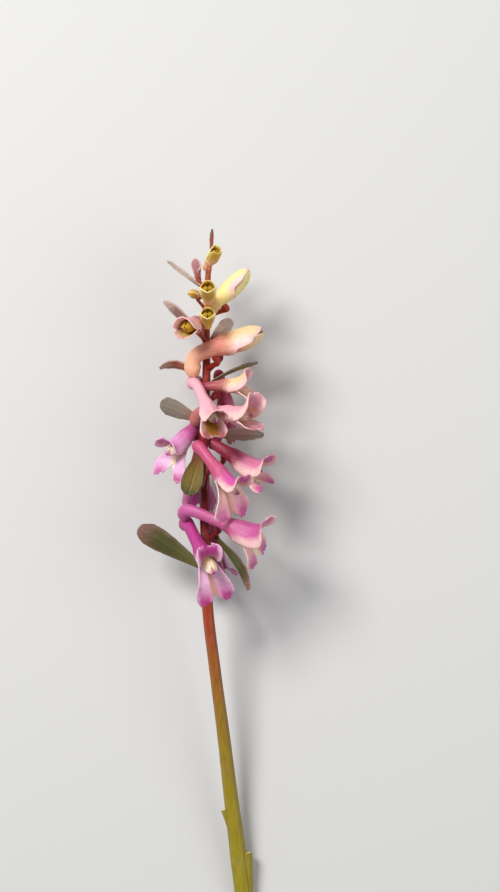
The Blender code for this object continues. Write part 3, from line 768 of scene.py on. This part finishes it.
def inner_petals(bloom, finish, seed):
    size = bloom.size
    reach = between(INNER_LENGTH, bloom.openness)
    girth = between(BEAK_RADII, min(1.0, bloom.openness * 2))
    knots = np.linspace(0.0, 1.0, len(girth))
    route = smooth_route(np.column_stack([knots * reach, 0 * knots, girth]), steps=8) * size
    quarter = math.pi / 2
    widths = route[:, 2] * quarter
    bends = [quarter] * len(route)
    meshes = []
    for turn in (-quarter, quarter):
        mesh = sheet(
            bloom.name, headed(route), widths, bends, cells=(40, 16), seed=seed, finish=finish, side=-1.0,
            notch=0.0, corner=0.0, wave=0.05, ragged=0.0, keel=0.3 * size, keel_width=0.22,
        )
        tilt = Matrix.Rotation(-math.atan2(INNER_RISE, reach), 4, "Y")
        base = Vector((INNER_START, 0.0, INNER_HEIGHT)) * size
        mesh.transform(Matrix.Translation(base) @ tilt @ Matrix.Rotation(turn, 4, "X"))
        meshes.append(mesh)
    return meshes


# %% [markdown]
# ## Shader groups
#
# The same few effects come back on every petal, so each is a group with named inputs and outputs.
# The first mixes a petal's colours by where a point lies on it: spur, tube, hood, a pale rim that is
# partly the petal's own paler margin and partly painted highlight, throat and the patches on the
# lobes. It needs no picture, only the attributes that the tree left.

# %% Group of petal colours
def blend(amount, first, second):
    """A colour mix. amount 0 gives the first, 1 the second."""
    made = amount.tree.nodes.new("ShaderNodeMix")
    made.data_type = "RGBA"
    feed(made.inputs[0], amount)
    feed(made.inputs[6], first)
    feed(made.inputs[7], second)
    return Wire(made.outputs[2])


def note(tree, name, out="Fac"):
    """An attribute that a mesh carries."""
    return add(tree, "ShaderNodeAttribute", out=out, attribute_name=name)


COLOUR_PLACES = ("Spur", "Tube", "Hood", "Rim", "Throat", "Lobe", "Pouch")


def petal_colour_group():
    tree, given, end = new_tree(
        "petal colours",
        "ShaderNodeTree",
        {**dict.fromkeys(COLOUR_PLACES, (0.5, 0.2, 0.4, 1)), "Channel width": 0.26},
        {"Color": "Color", "Rim and highlight mask": "Float"},
    )
    along, across, inside, lower = (note(tree, name) for name in ("along", "across", "inside", "lower"))
    far = abs(across)
    lay = note(tree, "lay", "Vector")
    drift = (noise(lay, 0.55, 3.0) - 0.5) * 0.16
    along = along + drift
    far = far + drift

    # Upper petal from outside: spur, tube, hood, with a pale free edge that is partly the petal's paler
    # margin and partly painted highlight
    back = blend(ease(along, 0.2, 0.48), given["Spur"], given["Tube"])
    back = blend(ease(along, 0.5, 0.72), back, given["Hood"])
    edge = ease(far, 0.36, 0.8) * ease(along, 0.5, 0.68)
    lip_edge_and_highlight = ease(along, 0.91, 1.0)
    edge = calc("MAXIMUM", edge, lip_edge_and_highlight * 0.8)
    upper_out = blend(edge, back, given["Rim"])
    # Upper petal from inside: pale throat, then the lip's face inside a pale edge that is partly the petal's
    # paler margin and partly painted highlight
    face = blend(ease(along, 0.7, 0.84), given["Throat"], given["Lobe"])
    inner_edge_and_highlight = calc("MAXIMUM", ease(far, 0.54, 0.92), lip_edge_and_highlight)
    upper_in = blend(inner_edge_and_highlight, face, given["Rim"])

    # Lower petal from inside: a channel down the middle, pale bands, and a patch on each lobe
    channel = far / given["Channel width"]
    channel = 1.0 - ease(channel, 0.3, 1.0)
    channel = channel * (1.0 - ease(along, 0.82, 0.95))
    patch = ease(along, 0.66, 0.84) * ease(far, 0.2, 0.42)
    patch = patch * (1.0 - ease(far, 0.66, 0.95))
    patch = patch * (1.0 - ease(along, 0.93, 1.0))
    bands = blend(ease(along, 0.45, 0.8) * 0.55, given["Rim"], given["Hood"])
    lower_in = blend(channel, bands, given["Pouch"])
    lower_in = blend(patch, lower_in, given["Lobe"])
    # A pale edge on the lobes, partly the petal's paler margin and partly painted highlight
    lower_in = blend(ease(far, 0.8, 1.0) * 0.8, lower_in, given["Rim"])
    # Lower petal from outside: like the hood, paler towards its edge, which is partly its own margin and
    # partly painted highlight
    lower_out = blend(ease(along, 0.25, 0.7), given["Tube"], given["Hood"])
    lower_out = blend(ease(far, 0.5, 1.0), lower_out, given["Rim"])

    upper = blend(inside, upper_out, upper_in)
    below = blend(inside, lower_out, lower_in)
    feed(end.inputs["Color"], blend(lower, upper, below))
    # The mask of the pale edges, which are partly painted highlight
    feed(end.inputs["Rim and highlight mask"], calc("MAXIMUM", edge, ease(far, 0.7, 1.0)))
    return tree


PETAL_COLOURS = petal_colour_group()

# %% [markdown]
# The second group is the skin of a petal or leaf. Fine veins run along it and waver a little, and
# the cells between them stand out as a faint grain that makes the surface glisten. It puts out
# the height for the bump, a mask of the veins and a mottle for the colour, and a roughness.

# %% Group of veins and cells
def skin_group():
    tree, given, end = new_tree(
        "petal skin",
        "ShaderNodeTree",
        {"Veins": 9.0, "Cell size": 0.12, "Roughness": 0.4},
        dict.fromkeys(("Height", "Vein mask", "Roughness", "Mottle"), "Float"),
    )
    across = note(tree, "across")
    lay = note(tree, "lay", "Vector")
    bent = across + (noise(lay, 0.7, 2.0) - 0.5) * 0.22
    ripple = abs(calc("SINE", bent * (given["Veins"] * math.pi)))
    vein = 1.0 - ease(ripple, 0.0, 0.45)
    cells = add(tree, "ShaderNodeTexVoronoi", {"Vector": lay, "Scale": 1.0 / given["Cell size"]})
    mottle = noise(lay, 1.6, 4.0, Roughness=0.6)
    feed(end.inputs["Height"], vein * 0.7 - cells * 0.45 + mottle * 0.5)
    feed(end.inputs["Vein mask"], vein)
    feed(end.inputs["Roughness"], given["Roughness"] + (mottle - 0.5) * 0.25)
    feed(end.inputs["Mottle"], mottle)
    return tree


SKIN = skin_group()

# %% [markdown]
# ## Colours
#
# The colours are named as a painter would name them, and given as they look on a screen. The
# open flowers at the foot are magenta and rose with pale rims, which are partly their own paler
# margins and partly painted highlight. Up the spike they pass through blush and peach to the
# yellow and olive of the buds.

# %% Palette
def screen(red, green, blue):
    """A screen colour (0 to 255) as the linear colour that a shader needs."""
    parts = np.array([red, green, blue]) / 255.0
    linear = np.where(parts <= 0.04045, parts / 12.92, ((parts + 0.055) / 1.055) ** 2.4)
    return (*(float(v) for v in linear), 1.0)


def screens(table):
    """The same table with its screen colours made linear."""
    return {name: screen(*colour) for name, colour in table.items()}


PALETTE = screens({
    "magenta": (176, 54, 128), "hot_pink": (208, 84, 156), "orchid": (190, 90, 146),
    "dusky_pink": (188, 88, 130), "carnation": (212, 122, 158), "rose": (190, 78, 116),
    "crimson": (150, 42, 68), "purple": (132, 40, 100), "plum": (180, 98, 136),
    "lilac": (222, 148, 196), "pale_lilac": (232, 184, 212), "blush": (236, 168, 180),
    "shell": (242, 196, 190), "cream": (244, 220, 184), "tan": (186, 138, 124),
    "mauve": (172, 120, 124), "plum_brown": (166, 92, 96), "rose_brown": (178, 104, 100),
    "peach": (238, 176, 142), "salmon": (218, 138, 118), "straw": (214, 184, 110),
    "biscuit": (240, 204, 154), "faded_rose": (208, 138, 154), "moss_gold": (190, 154, 44),
    "gold": (226, 174, 74), "lemon": (248, 226, 150), "olive": (150, 118, 30),
    "olive_gold": (140, 96, 26), "brick": (164, 56, 50),
})
# Spur, tube, hood, rim, throat, lobe and pouch of every bloom
BLOOM_TINTS = {
    "flower_01": "magenta magenta magenta pale_lilac cream magenta tan",
    "flower_02": "orchid dusky_pink orchid shell cream orchid cream",
    "flower_03": "rose rose hot_pink shell cream orchid tan",
    "flower_04": "crimson crimson carnation shell cream orchid cream",
    "flower_05": "rose orchid lilac pale_lilac cream orchid cream",
    "flower_06": "blush blush blush shell shell plum_brown olive_gold",
    "flower_07": "rose_brown blush blush shell peach faded_rose rose_brown",
    "flower_08": "crimson rose_brown biscuit shell cream faded_rose straw",
    "flower_09": "peach salmon biscuit shell peach blush gold",
    "flower_10": "crimson crimson purple plum mauve purple tan",
    "flower_11": "crimson crimson purple plum mauve purple tan",
    "flower_12": "crimson crimson rose plum mauve plum tan",
    # The throat, lobe and pouch of bud_01, and the throat and pouch of bud_02, bud_04 and bud_06, are
    # painted lighter than their olive to offset the shade inside the cup
    "bud_01": "brick mauve blush shell straw shell straw",
    "bud_02": "gold gold moss_gold lemon moss_gold moss_gold moss_gold",
    "bud_03": "peach lemon lemon shell lemon shell straw",
    "bud_04": "gold peach moss_gold lemon moss_gold gold moss_gold",
    "bud_05": "gold olive gold lemon olive gold olive",
    "bud_06": "peach peach moss_gold lemon moss_gold moss_gold moss_gold",
    "bud_07": "mauve mauve mauve shell mauve mauve mauve",
    "bud_08": "rose_brown rose_brown peach shell peach peach gold",
    "bud_09": "rose_brown rose_brown rose shell peach peach gold",
}
# The dark channel of the lower petal is about a quarter of its width, but wider on the young ones
CHANNEL_WIDTHS = {"flower_06": 1.0, "bud_01": 1.2, "bud_02": 0.9, "bud_04": 0.9, "bud_06": 0.9}
print("tints:", len(PALETTE))

# %% [markdown]
# A petal lets light through, so its finish has a weak subsurface glow of about a millimetre. The
# veins are a little darker than the skin between them, and the pale rim, which is partly painted
# highlight, hardly shows them.

# %% Finish of the outer petals
def new_finish(name, gloss, glow, radius, scale):
    """A material that light goes a little way into."""
    material = bpy.data.materials.new(name)
    material.use_nodes = True
    shader = material.node_tree.nodes["Principled BSDF"]
    feed(shader.inputs["Specular IOR Level"], gloss)
    feed(shader.inputs["Subsurface Weight"], glow)
    feed(shader.inputs["Subsurface Radius"], radius)
    feed(shader.inputs["Subsurface Scale"], scale)
    return material, material.node_tree, shader


def use_group(tree, group, inputs):
    """Places a node group with its own values, and gives its outputs by name."""
    made = tree.nodes.new("ShaderNodeGroup")
    made.node_tree = group
    for label, value in inputs.items():
        feed(made.inputs[label], value)
    return {socket.name: Wire(socket) for socket in made.outputs}


def living_finish(name, veins, cell_size, roughness, bump, glow, gloss):
    """A material with the skin group wired in, and the Wires that its colour needs."""
    material, tree, shader = new_finish(name, gloss, glow, radius=(1.0, 0.45, 0.55), scale=0.9 * MM)
    skin = use_group(tree, SKIN, {"Veins": veins, "Cell size": cell_size, "Roughness": roughness})
    relief = {"Height": skin["Height"], "Strength": bump, "Distance": 0.1 * MM}
    feed(shader.inputs["Normal"], add(tree, "ShaderNodeBump", relief))
    feed(shader.inputs["Roughness"], skin["Roughness"])
    return material, tree, shader, skin


def tinted(tree, colour, **inputs):
    """A colour with another value or saturation."""
    return add(tree, "ShaderNodeHueSaturation", {"Color": colour, **inputs})


def petal_finish(bloom):
    material, tree, shader, skin = living_finish(
        bloom.name + "_petal", veins=7.0, cell_size=0.14, roughness=0.42, bump=0.5, glow=0.22, gloss=0.4
    )
    inputs = {label: PALETTE[tint] for label, tint in zip(COLOUR_PLACES, BLOOM_TINTS[bloom.name].split())}
    inputs["Channel width"] = CHANNEL_WIDTHS.get(bloom.name, 0.26)
    colours = use_group(tree, PETAL_COLOURS, inputs)
    dark = skin["Vein mask"] * (1.0 - colours["Rim and highlight mask"]) * 0.28
    veined = blend(dark, colours["Color"], tinted(tree, colours["Color"], Saturation=1.15, Value=0.72))
    feed(shader.inputs["Base Color"], tinted(tree, veined, Value=skin["Mottle"] * 0.5 + 0.76))
    return material


# %% [markdown]
# The inner petals are cream where they close and stained at the tip, and their narrow claws are
# pale. In the yellow buds they are olive, painted lighter here as gold and moss gold to offset the
# shade inside the cup. One ramp along the petal gives the change.

# %% Finish of the inner petals
def ramp(value, stops):
    """A colour ramp through (place, colour) stops."""
    made = value.tree.nodes.new("ShaderNodeValToRGB")
    feed(made.inputs[0], value)
    points = made.color_ramp.elements
    while len(points) < len(stops):
        points.new(0.5)
    for point, (place, colour) in zip(points, stops):
        point.position = place
        point.color = colour
    return Wire(made.outputs[0])


def beak_finish(name, claw, body, tip):
    material, tree, shader, skin = living_finish(
        name, veins=4.0, cell_size=0.12, roughness=0.38, bump=0.4, glow=0.3, gloss=0.4
    )
    along = note(tree, "along") + (skin["Mottle"] - 0.5) * 0.2
    stops = ((0.0, claw), (0.55, body), (0.84, body), (0.97, tip))
    feed(shader.inputs["Base Color"], ramp(along, [(place, PALETTE[tint]) for place, tint in stops]))
    return material


OPEN_BEAK = beak_finish("inner_petals_open", "shell", "cream", "plum")
PEACH_BEAK = beak_finish("inner_petals_peach", "peach", "cream", "gold")
# Gold and moss gold in place of the buds' olive: painted lighter to offset the shade inside the cup
OLIVE_BEAK = beak_finish("inner_petals_olive", "gold", "moss_gold", "moss_gold")

# %% [markdown]
# ## The blooms
#
# Now every flower and bud is made: the two outer petals get their thickness and are joined, and
# the inner pair goes in as a piece of its own. The smallest buds are shut and show none.

# %% Build the blooms
def placement(point, turn):
    """Turns a shape made in millimetres and sets it at a point."""
    return Matrix.Translation(Vector(point) * MM) @ turn.to_4x4() @ Matrix.Scale(MM, 4)


def build_bloom(bloom, seed):
    place = placement(bloom.joint, facing(bloom.heading, bloom.lift, bloom.roll))
    finish = petal_finish(bloom)
    meshes = []
    for lower, make in ((0.0, upper_petal), (1.0, lower_petal)):
        mesh = make(bloom, finish, seed)
        mesh.transform(place)
        thickness = PETAL_THICKNESS * (0.6 + 0.4 * bloom.size)
        mesh = thicken(mesh, thickness, bloom.name, inner_on_top=lower > 0.5)
        mark(mesh, "lower", lower)
        meshes.append(mesh)
    if bloom.name in CLOSED_BUDS:
        piece(bloom.name + "_petals", meshes, bloom.name)
        return
    piece(bloom.name + "_outer", meshes, bloom.name + "_outer_petals")
    if bloom.name.startswith("bud"):
        beak = OLIVE_BEAK
    else:
        beak = PEACH_BEAK if bloom.name in ("flower_08", "flower_09") else OPEN_BEAK
    meshes = []
    for mesh in inner_petals(bloom, beak, seed):
        mesh.transform(place)
        meshes.append(thicken(mesh, INNER_THICKNESS, bloom.name))
    piece(bloom.name + "_inner", meshes, bloom.name + "_inner_petals")


for number, bloom in enumerate(BLOOMS):
    build_bloom(bloom, number * 3.7)

# %% [markdown]
# ## The bracts
#
# Small undivided leaves stand out from the stem under flowers and buds. Each is the same kind of
# sheet with a midrib. The lower ones are green with a red-brown flush, and the upper ones fade to a
# papery pink and grey, so each has its own three colours from foot to tip.

# %% Build the bracts
LEAF_COLOURS = screens({
    "moss": (74, 72, 26), "leaf": (96, 92, 36), "olive": (120, 100, 36),
    "bronze": (126, 74, 42), "chestnut": (150, 78, 48), "dusk": (134, 96, 86),
    "ash": (134, 124, 108), "petal_grey": (206, 186, 172), "rust": (164, 86, 60),
})
# Foot, middle and tip of every bract
BRACT_TINTS = {
    "bract_01": "leaf moss dusk",
    "bract_02": "moss moss dusk",
    "bract_03": "bronze olive moss",
    "bract_04": "chestnut ash ash",
    "bract_05": "bronze dusk ash",
    "bract_06": "olive olive ash",
    "bract_07": "chestnut rust petal_grey",
    "bract_08": "rust petal_grey petal_grey",
    "bract_09": "rust dusk petal_grey",
    "bract_10": "dusk petal_grey petal_grey",
    "bract_11": "rust rust dusk",
    "bract_12": "olive olive bronze",
}
BRACT_SHAPE = ((0.3, 0.5, 0.74, 0.92, 1.0, 0.8, 0.3), (0.3, 0.48, 0.68, 0.86, 1.0, 0.98, 0.72))
BRACT_NOTCH = (-0.06, 0.0)
BRACT_CORNER = (0.0, 0.14)
BRACT_BENDS = (30.0, 26.0, 20.0, 16.0, 14.0, 12.0, 10.0)
BRACT_GAP = 0.45
BRACT_STEPS = 50


def bract_finish(name):
    material, tree, shader, skin = living_finish(
        name + "_leaf", veins=5.0, cell_size=0.16, roughness=0.5, bump=0.6, glow=0.1, gloss=0.35
    )
    foot, middle, tip = (LEAF_COLOURS[tint] for tint in BRACT_TINTS[name].split())
    along = note(tree, "along") + (skin["Mottle"] - 0.5) * 0.5
    colour = ramp(along, [(0.05, foot), (0.45, middle), (0.7, middle), (0.98, tip)])
    edge = ease(abs(note(tree, "across")), 0.6, 1.0)
    colour = blend(edge * 0.55, colour, tip)
    colour = blend(skin["Vein mask"] * 0.35, colour, tinted(tree, colour, Value=1.35, Saturation=0.9))
    feed(shader.inputs["Base Color"], colour)
    return material


def build_bract(bract, seed):
    turns = (bract.rise, bract.rise, bract.rise - bract.bow * 0.5, bract.rise - bract.bow)
    line = turning_line((0.0, 0.0), bract.length, turns, BRACT_STEPS)
    widths = over_table(between(BRACT_SHAPE, bract.blunt), BRACT_STEPS + 1) * bract.half_width
    bends = np.radians(over_table(BRACT_BENDS, BRACT_STEPS + 1))
    mesh = sheet(
        bract.name, headed(line), widths, bends, cells=(48, 24), seed=seed, finish=bract_finish(bract.name),
        side=1.0, notch=between(BRACT_NOTCH, bract.blunt), corner=between(BRACT_CORNER, bract.blunt),
        wave=0.5, ragged=0.04, keel=0.18, keel_width=0.12,
    )
    x, y, z, radius = stem_at(bract.foot)
    turn = facing(bract.heading, bract.lift, bract.roll)
    out = turn @ Vector((1.0, 0.0, 0.0))
    out.y = 0.0
    out.normalize()
    foot = Vector((x, y, z)) + out * (radius + BRACT_GAP)
    mesh.transform(placement(foot, turn))
    piece(bract.name + "_blade", [thicken(mesh, BRACT_THICKNESS, bract.name)], bract.name)


for number, bract in enumerate(BRACTS):
    build_bract(bract, 80.0 + number * 2.3)

# %% [markdown]
# ## The stem and its stalks
#
# The stem is a juicy round rod with faint ridges, and each flower hangs on a thin stalk. All of
# them follow a line with a changing thickness, so a second tree sweeps a ring along a curve. The
# ring is pushed in and out a little as it goes round, which gives the ridges.

# %% The stem tree
def stem_tree():
    tree, given, end = new_tree(
        "stem sweep",
        "GeometryNodeTree",
        {
            "Curve": "Geometry", "Sides": 28, "Ridges": 6.0, "Ridge depth": 0.05, "Uneven": 0.08,
            "Seed": 0.0, "Material": "Material",
        },
        {"Mesh": "Geometry"},
    )
    factor = add(tree, "GeometryNodeSplineParameter")
    girth = add(tree, "GeometryNodeInputRadius")
    rail = store(store(given["Curve"], "along", factor), "girth", girth)
    ring = add(tree, "GeometryNodeCurvePrimitiveCircle", {"Resolution": given["Sides"], "Radius": 1.0})
    ring = store(ring, "around", factor)
    inputs = {"Curve": rail, "Profile Curve": ring, "Scale": girth, "Fill Caps": True}
    rod = add(tree, "GeometryNodeCurveToMesh", inputs)
    around = add(tree, "GeometryNodeInputNamedAttribute", {"Name": "around"}, data_type="FLOAT")
    thick = add(tree, "GeometryNodeInputNamedAttribute", {"Name": "girth"}, data_type="FLOAT")
    ridge = calc("COSINE", around * (2 * math.pi) * given["Ridges"]) * given["Ridge depth"]
    spot = arrow("ADD", add(tree, "GeometryNodeInputPosition"), vector(0.0, 0.0, given["Seed"]))
    uneven = (noise(spot, 0.35, 3.0) - 0.5) * given["Uneven"]
    offset = arrow("SCALE", add(tree, "GeometryNodeInputNormal"), (ridge + uneven) * thick)
    rod = add(tree, "GeometryNodeSetPosition", {"Geometry": rod, "Offset": offset})
    return close_tree(rod, given, end)


STEM_TREE = stem_tree()
print("stem tree:", len(STEM_TREE.nodes), "nodes")

# %% [markdown]
# The stem is crimson among the flowers, turns red-brown below them and olive green at the cut.
# Its colour therefore runs along Y. Long faint streaks and a bloom of paler wax break it up.

# %% Finish of the stem
# Y in millimetres, and the screen colour there
STEM_STOPS = (
    (-92.0, (148, 134, 24)),
    (-60.0, (146, 126, 26)),
    (-42.0, (144, 108, 30)),
    (-28.0, (148, 86, 30)),
    (-12.0, (154, 58, 28)),
    (12.0, (104, 4, 18)),
    (34.0, (118, 8, 20)),
    (58.0, (150, 44, 26)),
    (86.0, (172, 88, 54)),
)


def stem_finish():
    material, tree, shader = new_finish("stem_skin", gloss=0.3, glow=0.12, radius=(1.0, 0.4, 0.3), scale=MM)
    where = add(tree, "ShaderNodeTexCoord", out="Object")
    first, last = STEM_STOPS[0][0], STEM_STOPS[-1][0]
    share = add(tree, "ShaderNodeMapRange", {0: parts_of(where)[1], 1: first * MM, 2: last * MM})
    streak = noise(arrow("MULTIPLY", where, (1.0, 0.08, 1.0)), 1400.0, 3.0)
    patchy = noise(where, 170.0, 4.0)
    share = share + (patchy - 0.5) * 0.16
    colour = ramp(share, [((y - first) / (last - first), screen(*tint)) for y, tint in STEM_STOPS])
    colour = tinted(tree, colour, Value=streak * 0.7 + 0.65)
    colour = blend(ease(patchy, 0.5, 0.75) * 0.08, colour, screen(206, 190, 150))
    feed(shader.inputs["Base Color"], colour)
    feed(shader.inputs["Roughness"], patchy * 0.3 + 0.26)
    height = streak * 0.8 + noise(where, 5200.0, 2.0) * 0.4
    relief = {"Height": height, "Strength": 0.5, "Distance": 0.12 * MM}
    feed(shader.inputs["Normal"], add(tree, "ShaderNodeBump", relief))
    return material


STEM_SKIN = stem_finish()

# The cut face has a green ring under the skin and pale pith inside it
CUT_GREEN = screen(158, 160, 72)
CUT_PITH = screen(222, 216, 160)


def flesh_finish():
    material, tree, shader, skin = living_finish(
        "stem_flesh", veins=3.0, cell_size=0.2, roughness=0.3, bump=0.5, glow=0.3, gloss=0.5
    )
    colour = ramp(note(tree, "depth"), [(0.0, PALETTE["olive"]), (0.3, CUT_GREEN), (0.75, CUT_PITH)])
    feed(shader.inputs["Base Color"], colour)
    return material


STEM_FLESH = flesh_finish()

# %% [markdown]
# The stalks leave the stem and end in a small knob under the tube of their flowers. Two torn leaf
# stubs stand at the sides of the lower stem. All of it is one piece, as it grew.

# %% Build the stem
STALK_RADII = (0.8, 0.58, 0.62, 0.95, 0.6)
STALK_KNEE = (1.0, 2.2)
# Y of the top, height, radius, side and distance from the stem's middle of each torn stub
LEAF_SCARS = ((-77.5, 14.5, 1.45, 1.0, 2.3), (-65.8, 7.0, 0.75, -1.0, 2.35))
# Width and rise of each ring of a cut face, as shares of the rod's radius
CUT_RINGS = ((0.16, -0.02), (0.16, -0.07), (0.36, 0.02))


def sweep(name, route, seed, **settings):
    inputs = {"Seed": float(seed), "Material": STEM_SKIN, **settings}
    return shape_from(STEM_TREE, name, route[:, :3], route[:, 3], [0.0] * len(route), inputs)


def dress_cuts(mesh, girth):
    """Makes cut faces of a rod's flat ends, with low rings from the skin to the pith."""
    mesh.materials.append(STEM_FLESH)
    work = bmesh.new()
    work.from_mesh(mesh)
    depth = work.verts.layers.float.new("depth")
    ends = [face for face in work.faces if len(face.verts) > 4]
    for level, (inset, sink) in enumerate(CUT_RINGS):
        made = bmesh.ops.inset_individual(work, faces=ends, thickness=inset * girth, depth=sink * girth)
        for face in [*made["faces"], *ends]:
            face.material_index = 1
            face.smooth = level > 0
        for face in ends:
            for vert in face.verts:
                vert[depth] = (level + 1) / len(CUT_RINGS)
    work.to_mesh(mesh)
    work.free()


def stalk_route(bloom):
    """The line of a stalk from the stem to the knob under a flower."""
    up = facing(bloom.heading, bloom.lift, bloom.roll) @ Vector((0.0, 0.0, 1.0))
    joint = Vector(bloom.joint)
    knee = joint - up * (between(STALK_KNEE, bloom.openness) * bloom.size - 0.1)
    foot = Vector(stem_at(bloom.foot)[:3])
    points = (foot, foot.lerp(knee, 0.6), knee, joint + up * 0.05, joint + up * 0.5 * bloom.size)
    radii = np.array(STALK_RADII) * (0.4 + 0.6 * bloom.size)
    return smooth_route(np.column_stack([np.array(points), radii]), steps=8)


def scar_route(top, reach, radius, side, stand_off):
    """The line of a torn stub that stands beside the stem."""
    knots = []
    for t in (0.0, 0.3, 0.7, 1.0):
        x, y, z, _ = stem_at(top - reach * (1.0 - t))
        girth = radius * (0.6 + 0.4 * min(1.0, t * 3))
        knots.append((x + side * stand_off * (0.35 + 0.65 * t), y, z, girth))
    return smooth_route(knots, steps=6)


stem_meshes = [sweep("stem", STEM_ROUTE, 0.0, Sides=32)]
dress_cuts(stem_meshes[0], STEM_LINE[0][3])
for scar in LEAF_SCARS:
    stub = sweep("scar", scar_route(*scar), 5.0, Sides=16)
    dress_cuts(stub, scar[2])
    stem_meshes.append(stub)
for number, bloom in enumerate(BLOOMS):
    stem_meshes.append(sweep("stalk", stalk_route(bloom), number, Sides=16))
for mesh in stem_meshes:
    mesh.transform(Matrix.Scale(MM, 4))
piece("stem_and_stalks", stem_meshes, "stem")
